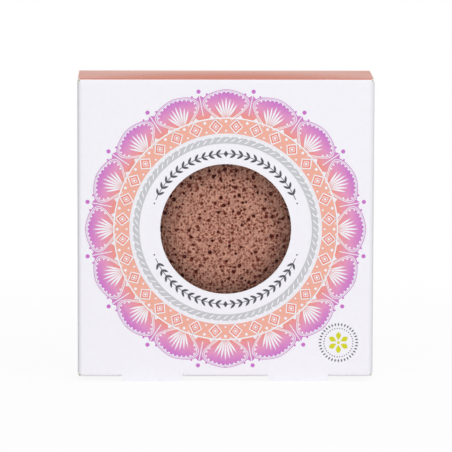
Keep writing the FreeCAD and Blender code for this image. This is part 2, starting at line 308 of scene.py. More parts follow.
def coated_board(name, tint=None, crease=None, crack=None, ramp=None, gloss=0.44):
    """Folding boxboard with a clay coating, printed by offset and finished with a matt water-based varnish.

    The coating gives an even satin sheen and a faint orange peel about 0.6 mm across. A solid print is
    slightly mottled at 1.5 mm. A crease is a tint along a crease, with the nearness to its middle at which it
    starts and is full: painted shade on the white board, a deeper coral painted where the coral's sheen drops,
    and on the base the white where the print ends. A crack is the colour of the fibres that show there in
    fine splits. A ramp takes the ink's colour from the distance to the window's middle.
    """
    made, tree, place = material(name)
    mottle = node(tree, "TexNoise", {"Vector": place, "Scale": 1 / (1.5 * MM), "Detail": 3.0})
    peel = node(tree, "TexNoise", {"Vector": place, "Scale": 1 / (0.6 * MM), "Detail": 2.0})
    uneven = node(tree, "MapRange", {"Value": mottle, "From Min": 0.3, "From Max": 0.7})
    if ramp:
        first, last = ramp[0][0], ramp[-1][0]
        stops = [((radius - first) / (last - first), stop) for radius, stop in ramp]
        centred = node(tree, "Mapping", {"Vector": place, "Location": (0, 0, -WINDOW_Z), "Scale": (1, 0, 1)})
        reach = node(tree, "VectorMath", {0: centred}, out="Value", operation="LENGTH")
        share = node(tree, "MapRange", {"Value": reach, "From Min": first, "From Max": last})
        ink = node(tree, "ValToRGB", {"Fac": share}, stops)
        faint = node(tree, "MapRange", {"Value": uneven, "To Max": 0.06})
        base = node(tree, "Mix", {0: faint, 6: ink, 7: WHITE}, **BLEND)
    else:
        base = node(tree, "Mix", {0: uneven, 6: shade(tint, 0.99), 7: shade(tint, 1.01)}, **BLEND)
    # Crease tint along the fold attribute: painted shade on the white board, a painted deeper coral on the
    # coral board, the print's end on the base
    if crease:
        creased, start, full = crease
        fold = node(tree, "Attribute", out="Fac", attribute_name="fold")
        near = node(tree, "MapRange", {"Value": fold, "From Min": start, "From Max": full})
        base = node(tree, "Mix", {0: near, 6: base, 7: creased}, **BLEND)
    if crease and crack:
        pulp = {"Vector": place, "Scale": 1 / (0.35 * MM), "Detail": 4.0, "Roughness": 0.7}
        worn = node(tree, "Math", {0: fold, 1: node(tree, "TexNoise", pulp)}, operation="MULTIPLY")
        split = node(tree, "MapRange", {"Value": worn, "From Min": 0.52, "From Max": 0.68})
        base = node(tree, "Mix", {0: split, 6: base, 7: crack}, **BLEND)
    roughness = node(tree, "MapRange", {"Value": mottle, "To Min": gloss - 0.06, "To Max": gloss + 0.06})
    return surfaced(made, base, roughness, 1.5, peel, 0.4, 0.0008 * MM)


def uncoated_board(name, tint, grain):
    """Bare side or cut edge of folding boxboard: matt, warm white, with pulp fibres and small specks.

    The fibres lie mostly one way, about 0.25 mm wide and 2 mm long, drawn as coarse as the render shows.
    """
    made, tree, place = material(name)
    along = node(tree, "Mapping", {"Vector": place, "Scale": grain})
    pulp = {"Vector": along, "Scale": 1 / (0.25 * MM), "Detail": 4.0, "Roughness": 0.65}
    fibres = node(tree, "TexNoise", pulp)
    tones = [(0.3, shade(tint, 0.86)), (0.5, tint), (0.7, shade(tint, 1.07))]
    tone = node(tree, "ValToRGB", {"Fac": fibres}, tones)
    specks = node(tree, "TexNoise", {"Vector": place, "Scale": 1 / (0.5 * MM), "Detail": 1.0})
    spot = node(tree, "MapRange", {"Value": specks, "From Min": 0.7, "From Max": 0.78})
    base = node(tree, "Mix", {0: spot, 6: tone, 7: shade(tint, 0.6)}, **BLEND)
    return surfaced(made, base, 0.88, 1.45, fibres, 0.35, 0.03 * MM)


def cellulose_film(tint):
    """Clear regenerated cellulose film, cast: almost invisible face on, and bright at a low angle.

    It is glued slack, so its reflections wander over soft waves about 9 mm long.
    """
    made, tree, place = material("Cast cellulose film")
    waves = node(tree, "TexNoise", {"Vector": place, "Scale": 1 / (9 * MM), "Detail": 1.0})
    haze = node(tree, "TexNoise", {"Vector": place, "Scale": 1 / (0.8 * MM), "Detail": 3.0})
    bump = node(tree, "Bump", {"Height": waves, "Strength": 0.5, "Distance": 0.5 * MM})
    roughness = node(tree, "MapRange", {"Value": haze, "To Min": 0.05, "To Max": 0.12})
    gloss = {"Base Color": tint, "Roughness": roughness, "Normal": bump, "IOR": 1.47}
    shine = node(tree, "Fresnel", {"IOR": 1.13, "Normal": bump})
    clear = node(tree, "BsdfTransparent", {"Color": (0.995, 0.995, 0.99)})
    both = node(tree, "MixShader", {0: shine, 1: clear, 2: node(tree, "BsdfPrincipled", gloss)})
    node(tree, "OutputMaterial", {"Surface": both})
    return made


def dried_glue(tint):
    """Water-based carton glue, rolled on and dried: cream, half clear, with fine ridges 0.9 mm apart."""
    made, tree, place = material("Dried dispersion glue")
    waves = {"Vector": place, "Scale": 1 / (9 * MM), "Distortion": 3.0, "Detail": 2.0}
    ridges = node(tree, "TexWave", waves, out="Fac")
    patches = node(tree, "TexNoise", {"Vector": place, "Scale": 1 / (3 * MM), "Detail": 3.0})
    tone = node(tree, "ValToRGB", {"Fac": patches}, [(0.35, shade(tint, 0.9)), (0.65, shade(tint, 1.05))])
    milky = {"Subsurface Weight": 0.3, "Subsurface Scale": 0.3 * MM}
    return surfaced(made, tone, 0.32, 1.46, ridges, 0.4, 0.05 * MM, milky)


def konjac_foam(tint, pore, deep_shade):
    """Konjac root gel, foamed, frozen and dried: a matt, chalky net of bubbles, red with mineral powder.

    The mesh holds the bubbles of about 0.25 to 0.74 mm in radius, and its depth attribute colours them the
    pores' darker red with painted shade that grows darker with depth. Two layers of shallower pores, up to
    about 0.8 mm across, are cut from scattered balls and drawn here in colour and bump only: painted shade in
    each pore and a painted highlight on the paler walls between them. The skin has darker pits of painted
    shade and pale specks of painted highlight. Light goes a little way into the gel.
    """
    made, tree, place = material("Freeze-dried konjac foam")
    cloud = node(tree, "TexNoise", {"Vector": place, "Scale": 1 / (4 * MM), "Detail": 4.0})
    rough = {"Vector": place, "Scale": 1 / (0.4 * MM), "Detail": 4.0, "Roughness": 0.7}
    skin = node(tree, "TexNoise", rough)
    tones = [(0.3, shade(tint, 0.84)), (0.55, tint), (0.75, shade(tint, 1.1))]
    base = node(tree, "ValToRGB", {"Fac": cloud}, tones)
    # Painted shade: fine pits are darkened to the pores' colour
    pit_shade = node(tree, "MapRange", {"Value": skin, "From Min": 0.46, "From Max": 0.6, "To Max": 0.75})
    base = node(tree, "Mix", {0: pit_shade, 6: base, 7: pore}, **BLEND)
    # Painted highlight: pale specks on the skin
    specks = node(tree, "MapRange", {"Value": skin, "From Min": 0.46, "From Max": 0.36, "To Max": 0.7})
    base = node(tree, "Mix", {0: specks, 6: base, 7: shade(tint, 1.35)}, **BLEND)
    height = skin
    # Spacing of the balls, and the rim and floor of their pores as shares of it
    layers = ((0.7 * MM, 0.54, 0.22), (1.0 * MM, 0.42, 0.24))
    for spacing, rim, floor in layers:
        ball = node(tree, "TexVoronoi", {"Vector": place, "Scale": 1 / spacing, "Randomness": 0.8})
        # Painted highlight: the walls round each pore are lightened
        wall = node(tree, "MapRange", {"Value": ball, "From Min": rim, "From Max": rim + 0.2, "To Max": 0.45})
        base = node(tree, "Mix", {0: wall, 6: base, 7: shade(tint, 1.3)}, **BLEND)
        # Painted shade: each pore is darker towards its floor, and the same share sinks the bump
        hollow = node(tree, "MapRange", {"Value": ball, "From Min": rim, "From Max": floor, "To Max": 0.7})
        base = node(tree, "Mix", {0: hollow, 6: base, 7: pore}, **BLEND)
        height = node(tree, "Math", {0: height, 1: hollow}, operation="SUBTRACT")
    # Painted shade: the mesh's bubbles are darkened more the deeper they go
    depth = node(tree, "Attribute", out="Fac", attribute_name="pore_depth")
    inside = node(tree, "ValToRGB", {"Fac": depth}, [(0.2, pore), (0.8, deep_shade)])
    hole = node(tree, "MapRange", {"Value": depth, "From Min": 0.02, "From Max": 0.2})
    base = node(tree, "Mix", {0: hole, 6: base, 7: inside}, **BLEND)
    gel = {"Subsurface Weight": 0.12, "Subsurface Scale": 0.4 * MM, "Specular IOR Level": 0.3}
    return surfaced(made, base, 0.92, 1.4, height, 0.7, 0.2 * MM, gel)


# Meshes


def cells(points, closed=False, keep=None):
    """Points and quads of a grid, or of many like grids: the last axes are rows, columns and place.

    Closed joins the last column to the first, and keep says which cells stay.
    """
    rows, columns = points.shape[-3:-1]
    copies = points.size // (3 * rows * columns)
    index = np.arange(rows * columns).reshape(rows, columns)
    if closed:
        index = np.column_stack([index, index[:, 0]])
    quads = np.stack([index[:-1, :-1], index[:-1, 1:], index[1:, 1:], index[1:, :-1]], axis=-1)
    quads = quads.reshape(-1, 4) if keep is None else quads[keep]
    quads = quads + np.arange(copies)[:, None, None] * rows * columns
    return points.reshape(-1, 3), quads.reshape(-1, 4)


def together(parts):
    """One list of points and quads from several."""
    firsts = np.cumsum([0] + [len(points) for points, _ in parts[:-1]])
    points = np.concatenate([points for points, _ in parts])
    quads = np.concatenate([quads + first for (_, quads), first in zip(parts, firsts)])
    return points, quads


def normals(points, quads):
    """The way that each quad looks: the cross product of its diagonals."""
    corners = points[quads]
    return np.cross(corners[:, 2] - corners[:, 0], corners[:, 3] - corners[:, 1])


def facing(points, quads, outward):
    """The same quads, with those that look away from a direction turned over."""
    wrong = normals(points, quads) @ outward < 0
    quads = quads.copy()
    quads[wrong] = quads[wrong][:, ::-1]
    return points, quads


def facing_out(points, quads, inward):
    """The same quads, all turned over if on the whole they look along their points' inward directions."""
    if np.einsum("ij,ij->i", normals(points, quads), inward[quads[:, 0]]).mean() > 0:
        quads = quads[:, ::-1]
    return points, quads


def mesh_of(name, points, quads, **attributes):
    """Mesh of quads, with float attributes on its points. Points at the same place become one."""
    mesh = bpy.data.meshes.new(name)
    mesh.vertices.add(len(points))
    mesh.vertices.foreach_set("co", points.astype(np.float32).ravel())
    mesh.loops.add(quads.size)
    mesh.loops.foreach_set("vertex_index", quads.astype(np.int32).ravel())
    mesh.polygons.add(len(quads))
    mesh.polygons.foreach_set("loop_start", np.arange(0, quads.size, 4, dtype=np.int32))
    for key, values in attributes.items():
        attribute = mesh.attributes.new(key, "FLOAT", "POINT")
        attribute.data.foreach_set("value", values.astype(np.float32).ravel())
    mesh.update(calc_edges=True)
    built = bmesh.new()
    built.from_mesh(mesh)
    bmesh.ops.remove_doubles(built, verts=built.verts, dist=SAME / 2)
    built.to_mesh(mesh)
    built.free()
    mesh.validate()
    return mesh


def linked(name, data):
    """Object for a mesh, lamp or camera, put in the scene."""
    made = bpy.data.objects.new(name, data)
    bpy.context.scene.collection.objects.link(made)
    return made


def piece(mesh, materials, body, replaces=()):
    """Object for that mesh, riding on a body."""
    made = linked(mesh.name, mesh)
    for one in materials:
        mesh.materials.append(one)
    mesh.shade_smooth()
    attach(made, body)
    if replaces:
        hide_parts(*replaces)
    return made


def thickened(made, thickness):
    """Gives a skin of board its thickness inwards: its second material lies inside, its third on cut edges."""
    solid = made.modifiers.new("Board", "SOLIDIFY")
    solid.thickness = thickness
    solid.offset = -1
    solid.use_even_offset = True
    solid.material_offset = 1
    solid.material_offset_rim = 2
    evaluated = made.evaluated_get(bpy.context.evaluated_depsgraph_get())
    mesh = bpy.data.meshes.new_from_object(evaluated)
    made.modifiers.clear()
    made.data = mesh
    mesh.name = made.name
    mesh.set_sharp_from_angle(angle=math.radians(35))
    return made


# Stations of a blank


def both_ways(*stops):
    """Those distances to both sides of the middle, in rising order."""
    return sorted(side * stop for side in (-1, 1) for stop in stops)


def spaced(stops, step):
    """Rising values that include every stop, and have no gap wider than a step."""
    runs = []
    for low, high in zip(stops[:-1], stops[1:]):
        count = max(1, math.ceil((high - low) / step))
        runs.append(np.linspace(low, high, count, endpoint=False))
    return np.append(np.concatenate(runs), stops[-1])


def wound(flat, before, after):
    """Stations of a flat, with five more round the crease at each end, whose length is given or zero."""
    share = np.linspace(0.2, 1, 5)
    first = flat[0] - before * share[::-1] if before else []
    last = flat[-1] + after * share if after else []
    return np.concatenate([first, flat, last])


def middles(values):
    """The middle of each gap between neighbouring values."""
    return (values[1:] + values[:-1]) / 2


def between(values, low, high):
    """For each gap between neighbouring values, whether its middle lies between two stops."""
    return (middles(values) > low) & (middles(values) < high)


# Boards


def rolled(along, across, half_length, half_width, radius, swell=0.0, skew=0.0):
    """Carries points of a flat blank to the folded board, as (along, outward, across) from its middle.

    Up to the crease a point stays in the plane. Past it, the rest of its distance is wound round the
    crease: the point turns by distance over radius. The swell is a parabola in each direction, and the
    skew makes it steeper at the start of the length than at its end.
    """
    along, across = np.broadcast_arrays(along, across)
    places = []
    sunk = np.zeros(along.shape)
    dome = swell * (1 - skew * np.clip(along / half_length, -1, 1))
    for value, half in ((along, half_length), (across, half_width)):
        turn = np.maximum(np.abs(value) - half, 0) / radius
        places.append(np.sign(value) * (np.minimum(np.abs(value), half) + radius * np.sin(turn)))
        sunk = sunk + radius * (1 - np.cos(turn))
        dome = dome * (1 - np.minimum(np.abs(value) / half, 1) ** 2)
    return np.stack([places[0], dome - sunk, places[1]], axis=-1)


def placed(points, middle, run, outward):
    """Puts local points (along, outward, across) at a middle, with along on run."""
    return middle + points @ np.array([run, outward, np.cross(outward, run)])


def folded(along, across, half_length, half_width, radius):
    """How near a blank's point is to the middle of a crease: 1 on it, and 0 past the crease strip."""
    past = np.maximum(np.abs(along) - half_length, np.abs(across) - half_width)
    return np.clip(1 - np.abs(past - radius * HALF_CREASE) / CREASE_STRIP, 0, 1).ravel()


def board_colours(colours):
    """The three faces of a board: coated outside, bare inside and cut edge.

    On the base the front crease counts below zero: the coral ends before it, and only the other crease
    cracks.
    """
    names = (
        "Matt-varnished white boxboard", "Coral offset print on boxboard",
        "Coral print ending at the crease", "Uncoated boxboard inside", "Die-cut boxboard edge",
    )
    if names[0] not in bpy.data.materials:
        # Painted shade: the white board is darkened to 0.7 of its colour along every crease
        coated_board(names[0], colours.white, (shade(colours.white, 0.7), 0.3, 1.0))
        # Painted shade: the coral board is painted a deeper coral along its creases, where the sheen drops
        coated_board(names[1], colours.coral, (colours.coral_crease_shade, 0.1, 0.7), colours.white, gloss=0.3)
        coated_board(names[2], colours.coral, (colours.white, -0.5, -0.52), colours.white, gloss=0.3)
        uncoated_board(names[3], colours.liner, (1, 1, 0.15))
        uncoated_board(names[4], colours.core, (0.4, 0.4, 0.4))
    white, coral, ended, liner, core = (bpy.data.materials[name] for name in names)
    return {"white_board": (white, liner, core), "coral_board": (coral, liner, core),
            "uncoated_board": (liner, liner, core), "ended": (ended, liner, core)}


def add_board(name, wall, body, slot, box, look=None):
    """Board piece that stands for its CAD node, from a wall's skin and its points' nearness to a crease."""
    skin, fold = wall
    mesh = mesh_of(name + "_board", *skin, fold=fold)
    made = piece(mesh, board_colours(box.colours)[look or slot], body, (name,))
    return thickened(made, box.carton.board)


def front_flat(sizes):
    """Half the width, half the height and the middle height of the front wall's flat."""
    half_z = (sizes.lid_fold - sizes.base_fold) / 2
    return WIDTH / 2 - sizes.fold_radius, half_z, (sizes.lid_fold + sizes.base_fold) / 2


def front_wall(sizes):
    """Skin of the front wall: rings of points from the round window out to the wall's edge, and its folds.

    Each ring is a blend of the circle and the rectangle at the same direction from the window's middle.
    The feet stay in the wall's plane, between the runs of the base fold. Only the folds to the side walls
    carry the crease strip, where the white board is darkened with painted shade.
    """
    radius = sizes.fold_radius
    half_x, half_z, middle_z = front_flat(sizes)
    window_z = WINDOW_Z - middle_z
    foot, offset, closure = sizes.foot_width / 2, sizes.foot_offset, sizes.closure_half
    slit = foot + sizes.foot_slit
    stops = both_ways(offset - slit, offset - foot, offset + foot, offset + slit, closure, half_x)
    edge_x = spaced(stops, FINE_STEP)
    edge_z = spaced([-half_z, half_z], FINE_STEP)
    around = np.concatenate([
        np.column_stack([edge_x[:-1], np.full(len(edge_x) - 1, -half_z)]),
        np.column_stack([np.full(len(edge_z) - 1, half_x), edge_z[:-1]]),
        np.column_stack([edge_x[:0:-1], np.full(len(edge_x) - 1, half_z)]),
        np.column_stack([np.full(len(edge_z) - 1, -half_x), edge_z[:0:-1]]),
    ])
    turn = np.arctan2(around[:, 1] - window_z, around[:, 0])
    away = [(turn - math.radians(at) + math.pi) % (2 * math.pi) - math.pi for at in NIB_TURNS]
    nibs = sum(np.exp(-(each / NIB_SPREAD) ** 2) for each in away)
    rim = (sizes.window_radius - sizes.nib * nibs)[:, None] * np.column_stack([np.cos(turn), np.sin(turn)])
    rim = rim + (0, window_z)
    ring_count, closer_inside = 22, 1.15
    share = np.linspace(0, 1, ring_count)[:, None, None] ** closer_inside
    rings = rim * (1 - share) + around * share
    parts, folds = [], []

    def add(along, across, closed=False):
        """Adds a grid of the blank's points to the skin."""
        local = rolled(along, across, half_x, half_z, radius, sizes.bow)
        parts.append(cells(placed(local, (0, FRONT_Y, middle_z), X_AXIS, -Y_AXIS), closed))
        folds.append(folded(along, across, half_x, ENDLESS, radius))

    add(rings[..., 0], rings[..., 1], closed=True)
    winding = radius * HALF_CREASE * np.linspace(0, 1, 6)[:, None]
    for side in (-1, 1):
        add(side * (half_x + winding) + 0 * edge_z, edge_z + 0 * winding)
    inner, outer = offset - slit, offset + slit
    top = [(1, -closure, closure)]
    base = [(-1, -closure, -outer), (-1, -inner, inner), (-1, outer, closure)]
    for end, low, high in top + base:
        run = edge_x[(edge_x > low - SAME) & (edge_x < high + SAME)]
        add(run + 0 * winding, end * (half_z + winding) + 0 * run)
    for middle in (-offset, offset):
        run = edge_x[np.abs(edge_x - middle) < foot + SAME]
        parts.append(foot_skin(run, middle, sizes, sizes.base_fold, FRONT_Y))
        folds.append(np.zeros(len(parts[-1][0])))
    return facing(*together(parts), -Y_AXIS), np.concatenate(folds)


def foot_skin(run, middle, sizes, top, y):
    """Foot in the plane of its wall: rows from the wall down to the table, drawn in at rounded corners."""
    drop = top * np.sin(np.linspace(0, math.pi / 2, 10))[:, None]
    into = np.clip(drop - (top - sizes.foot_corner), 0, sizes.foot_corner)
    narrow = sizes.foot_corner - np.sqrt(sizes.foot_corner ** 2 - into ** 2)
    half = sizes.foot_width / 2
    across = middle + (run - middle) * (half - narrow) / half
    return cells(np.stack([across, np.full_like(across, y), top - drop + 0 * across], axis=-1))


def creased_wall(middle, run, outward, along, across, halves, sizes, keep=None, swell=0.0, skew=0.0):
    """Skin of a wall from the stations of its blank, with the halves of its flat and the cells that stay."""
    along, across = np.meshgrid(along, across)
    local = rolled(along, across, *halves, sizes.fold_radius, swell, skew)
    skin = cells(placed(local, middle, run, outward), keep=keep)
    return skin, folded(along, across, *halves, sizes.fold_radius)


def flap_root(sizes):
    """Places of the front and back ends of a dust flap's root."""
    return FRONT_Y + sizes.flap_front_gap, BACK_Y - sizes.flap_back_gap


def side_wall(side, sizes):
    """Skin of a side wall, 1 for the right one and -1 for the left one.

    Its creases at the top and the base run only along the roots of the dust flaps. The right wall has a
    crease to the back wall, and the left one ends in a cut edge over the glue flap.
    """
    _, half_front, middle_z = front_flat(sizes)
    half_z = half_front - sizes.flap_inset
    winding = sizes.fold_radius * HALF_CREASE
    front = FRONT_Y + sizes.fold_radius
    back = -front if side > 0 else BACK_Y - sizes.side_gap
    middle_y, half = (back + front) / 2, (back - front) / 2
    stops = sorted(side * (stop - middle_y) for stop in (front, *flap_root(sizes), back))
    along = wound(spaced(stops, STEP), winding if side > 0 else 0, winding)
    across = wound(spaced([-half_z, half_z], COARSE_STEP), winding, winding)
    keep = between(across, -half_z, half_z)[:, None] | between(along, stops[1], stops[2])
    middle = np.array([side * WIDTH / 2, middle_y, middle_z])
    return creased_wall(
        middle, side * Y_AXIS, side * X_AXIS, along, across, (half, half_z), sizes, keep, sizes.side_bow
    )


def back_wall(sizes):
    """Skin of the back wall, with cut edges at the top and the base and two feet."""
    winding = sizes.fold_radius * HALF_CREASE
    right = WIDTH / 2 - sizes.fold_radius
    left = sizes.seam_inset - right
    centre, half = (right + left) / 2, (right - left) / 2
    low, high = sizes.back_low, sizes.back_high
    half_z = (high - low) / 2
    foot = sizes.foot_width / 2
    feet = both_ways(sizes.foot_offset - foot, sizes.foot_offset + foot)
    stops = [-half, *(centre + stop for stop in feet), half]
    along = wound(spaced(stops, STEP), winding, winding)
    across = spaced([-half_z, half_z], COARSE_STEP)
    middle = np.array([centre, BACK_Y, (low + high) / 2])
    skin, fold = creased_wall(
        middle, -X_AXIS, Y_AXIS, along, across, (half, half_z), sizes, swell=sizes.back_bow
    )
    parts, folds = [skin], [fold]
    for offset in (-sizes.foot_offset, sizes.foot_offset):
        run = centre - along[np.abs(centre - along - offset) < foot + SAME]
        parts.append(foot_skin(run, offset, sizes, low, BACK_Y))
        folds.append(np.zeros(len(parts[-1][0])))
    return facing(*together(parts), Y_AXIS), np.concatenate(folds)


def flap_stations(half, turn, radius, corner):
    """Stations of a flap: the crease's winding, the flat, and closer ones round the tip's corners."""
    winding = -half - radius * np.linspace(turn, 0, 7)[:-1]
    flat = np.linspace(-half, half - corner, 12)[:-1]
    tip = half - corner + corner * np.sin(np.linspace(0, math.pi / 2, 12))
    return np.concatenate([winding, flat, tip])


def tip_corner(stations, tip, radius):
    """How far a rounded corner draws in the side at each station: a quarter circle before the tip."""
    into = np.clip(stations - (tip - radius), 0, radius)
    return radius - np.sqrt(np.maximum(radius ** 2 - into ** 2, 0))


def tapered(stations, tip, root_half, tip_half, corner):
    """Half width of a flap at each station: a straight taper, less its rounded corners."""
    return np.interp(stations, [-tip, tip], [root_half, tip_half]) - tip_corner(stations, tip, corner)


def trimmed_flap(middle, run, outward, stations, low, high, half_length, sizes):
    """Skin of a tab or flap: each station along it has its own low and high end across."""
    across = low + (high - low) * np.linspace(0, 1, 17)[:, None]
    along = stations + 0 * across
    local = rolled(along, across, half_length, ENDLESS, sizes.fold_radius)
    fold = folded(-np.minimum(along, 0), 0 * across, half_length, ENDLESS, sizes.fold_radius)
    return cells(placed(local, middle, run, outward)), fold


def glue_flap(sizes):
    """Skin of the glue flap, which runs forwards from the back wall inside the left wall."""
    half = sizes.seam_length / 2
    stations = flap_stations(half, HALF_CREASE, sizes.fold_radius, sizes.seam_corner)
    edge = tapered(stations, half, sizes.seam_root, sizes.seam_tip, sizes.seam_corner)
    middle = np.array([sizes.seam_inset - WIDTH / 2, BACK_Y - sizes.fold_radius - half, front_flat(sizes)[2]])
    return trimmed_flap(middle, -Y_AXIS, -X_AXIS, stations, -edge, edge, half, sizes)


def closure_face(end, sizes):
    """The way that the lid or the base looks, and the height of its outer face."""
    if end == "lid":
        return Z_AXIS, sizes.lid_fold + sizes.fold_radius
    return -Z_AXIS, sizes.base_fold - sizes.fold_radius


def tuck_turn(sizes):
    """The turn of a tuck tab's crease that each of its two boards carries."""
    return (math.pi / 2 + sizes.tuck_lean) / 2


def closure_panel(end, sizes):
    """Skin of the lid or base: its flat runs out over the side creases, and its two creases are narrower.

    The base is cut out round the two feet of the front wall, as far back as the board that they are made of
    reached. Its front crease is marked with numbers below zero.
    """
    radius = sizes.fold_radius
    outward, face = closure_face(end, sizes)
    front, back = FRONT_Y + radius, sizes.closure_back - radius
    half = (back - front) / 2
    slit = sizes.foot_width / 2 + sizes.foot_slit
    folds = sizes.closure_half
    stops = both_ways(sizes.foot_offset - slit, sizes.foot_offset + slit, folds, sizes.flat_half)
    across = spaced(stops, STEP)
    crease = (radius - sizes.board / 2) * math.pi / 2
    notch = sizes.base_fold - crease + sizes.foot_slit - half
    along = wound(spaced([-half, notch, half], STEP), radius * HALF_CREASE, radius * tuck_turn(sizes))
    keep = between(across, -folds, folds)[:, None] | between(along, -half, half)
    if end == "base":
        over_foot = np.abs(np.abs(middles(across)) - sizes.foot_offset) < slit
        keep &= ~(over_foot[:, None] & (middles(along) < notch))
    middle = np.array([0, (front + back) / 2, face])
    halves = (half, sizes.flat_half)
    bow = sizes.lid_bow if end == "lid" else sizes.base_bow
    skin, fold = creased_wall(
        middle, Y_AXIS, outward, along, across, halves, sizes, keep, bow, sizes.bow_skew
    )
    if end == "base":
        fold = np.where(np.tile(along, len(across)) < 0, -fold, fold)
    return skin, fold


def tuck_tab(end, sizes):
    """Skin of a tuck tab: it leans away from the back wall, tapers and has rounded corners."""
    radius, lean, corner = sizes.fold_radius, sizes.tuck_lean, sizes.tuck_corner
    outward, face = closure_face(end, sizes)
    outer = Y_AXIS * math.cos(lean) - outward * math.sin(lean)
    down = -Y_AXIS * math.sin(lean) - outward * math.cos(lean)
    centre = Y_AXIS * (sizes.closure_back - radius) + Z_AXIS * face - outward * radius
    half = sizes.tuck_length / 2
    stations = flap_stations(half, tuck_turn(sizes), radius, corner)
    edge = tapered(stations, half, sizes.closure_half, sizes.closure_half - sizes.tuck_taper, corner)
    middle = centre + outer * radius + down * half
    return trimmed_flap(middle, down, outer, stations, -edge, edge, half, sizes)


def dust_flap(end, side, sizes):
    """Skin of a dust flap: a sloping front edge, and at the back a slanted shoulder and a slight slope."""
    radius = sizes.fold_radius
    outward, face = closure_face(end, sizes)
    low, high = flap_root(sizes)
    half_root, half = (high - low) / 2, sizes.flap_length / 2
    stations = flap_stations(half, HALF_CREASE, radius, sizes.flap_corner)
    way = np.maximum(stations + half, 0)
    corner = tip_corner(stations, half, sizes.flap_corner)
    front = -half_root + way * math.tan(sizes.flap_slope) + corner
    past = np.clip(way / sizes.flap_shoulder - 1, 0, 1)
    back = half_root - np.minimum(way, sizes.flap_shoulder) - corner
    back = back - way * math.tan(sizes.flap_back_slope) * past
    run = -side * X_AXIS
    if np.cross(outward, run)[1] < 0:
        front, back = -back, -front
    reach = WIDTH / 2 - radius - half
    middle = np.array([side * reach, (low + high) / 2, face - outward[2] * sizes.flap_inset])
    return trimmed_flap(middle, run, outward, stations, front, back, half, sizes)


# Print


def on_front(flat, layer, box):
    """Lays flat artwork (right, up from the window's middle) on the front wall's swell.

    Each layer is one ink step higher, and the swell is the wall's own parabola.
    """
    half_x, half_z, middle_z = front_flat(box.carton)
    right, up = flat[..., 0], flat[..., 1] + WINDOW_Z - middle_z
    swell = box.carton.bow * (1 - (right / half_x) ** 2) * (1 - (up / half_z) ** 2)
    height = swell + box.print.ink_step * (1 + layer)
    return np.stack([right, FRONT_Y - height, up + middle_z], axis=-1)


def band(inner, outer, count=256):
    """Ring between two radii, as rows of points at the same direction."""
    turn = np.linspace(0, 2 * math.pi, count + 1)
    radii = np.linspace(inner, outer, 3)[:, None]
    return np.stack([radii * np.sin(turn), radii * np.cos(turn)], axis=-1)


def lobe(reach, width, fullness=1.0, sharpness=1.0, rows=13, columns=3):
    """Leaf or drop from its root outwards: half width is the sine of half a turn of the share to a power.

    A fullness over 1 moves the widest place towards the tip, and a sharpness over 1 makes both ends finer.
    """
    share = (1 - np.cos(np.linspace(0, math.pi, rows))) / 2
    half = width / 2 * np.abs(np.sin(math.pi * share ** fullness)) ** sharpness
    side = np.linspace(-1, 1, columns)
    return np.stack([half[:, None] * side, reach * share[:, None] + 0 * side], axis=-1)


def disc(radius, rows=7):
    """Round dot, as rows across it."""
    turn = np.linspace(0, math.pi, rows)[:, None]
    side = np.linspace(-1, 1, 3)
    return np.stack([radius * np.sin(turn) * side, radius * np.cos(turn) + 0 * side], axis=-1)


def lozenge(reach, width):
    """Diamond that stands on its point."""
    share = np.array([0, 0.5, 1])[:, None]
    half = width / 2 * (1 - np.abs(2 * share - 1))
    side = np.linspace(-1, 1, 3)
    return np.stack([half * side, reach * share + 0 * side], axis=-1)


def rim_of(shape):
    """Path round a shape's outline: up its right side and down its left."""
    return np.concatenate([shape[:, -1], shape[::-1, 0]])


def drawn_in(shape, share):
    """Outline of a shell, open at its root and drawn in towards its middle to a share of its size."""
    path = rim_of(shape)[6:-6]
    middle = np.array([0, path[:, 1].mean()])
    return middle + (path - middle) * share


def bead_row(path, count):
    """Evenly spaced points along a path."""
    way = np.concatenate([[0], np.cumsum(np.linalg.norm(np.diff(path, axis=0), axis=1))])
    stops = np.linspace(0, way[-1], count)
    return np.column_stack([np.interp(stops, way, path[:, 0]), np.interp(stops, way, path[:, 1])])


def ribbon(path, width):
    """Line of that width along a path: each point is moved to both sides, square to the path."""
    heading = np.gradient(path, axis=-2)
    heading = heading / np.maximum(np.linalg.norm(heading, axis=-1, keepdims=True), 1e-12)
    side = np.stack([-heading[..., 1], heading[..., 0]], axis=-1) * width / 2
    return np.stack([path - side, path + side], axis=-2)


def turned(flat, angles):
    """Turns artwork clockwise about the window's middle.

    Several angles give a copy each, on a new first axis.
    """
    angles = np.reshape(angles, np.shape(angles) + (1,) * (flat.ndim - 1))
    right, up = flat[..., 0], flat[..., 1]
    across = right * np.cos(angles) + up * np.sin(angles)
    return np.stack([across, up * np.cos(angles) - right * np.sin(angles)], axis=-1)


def ring_of(shape, radius, count, start=0.0):
    """Copies of a shape, its root at a radius, evenly round the window, the first a share of a step on."""
    return turned(shape + (0, radius), (np.arange(count) + start) * 2 * math.pi / count)


def outlined(reach, width, radius, count, line):
    """Ring of lozenges in outline, with their middles at a radius."""
    rim = rim_of(lozenge(reach, width))
    return ribbon(ring_of(np.concatenate([rim, rim[:1]]), radius - reach / 2, count, 0.5), line)


def add_print(name, artwork, layer, finish, box):
    """One ink's artwork as a piece on the front wall."""
    skin = together([cells(on_front(flat, layer, box)) for flat in artwork])
    return piece(mesh_of(name, *facing(*skin, -Y_AXIS)), [finish], "sleeve")


# Sponge

# Turns in radians of the bubbles' cubes against the sponge
ASKEW_X, ASKEW_Z = 0.61, 0.47
# Where a ball's middle may lie in its cube, and the smallest ball, as shares of the cube and of the largest
MIDDLE_START, MIDDLE_ROOM, SMALLEST = 0.28, 0.44, 0.6


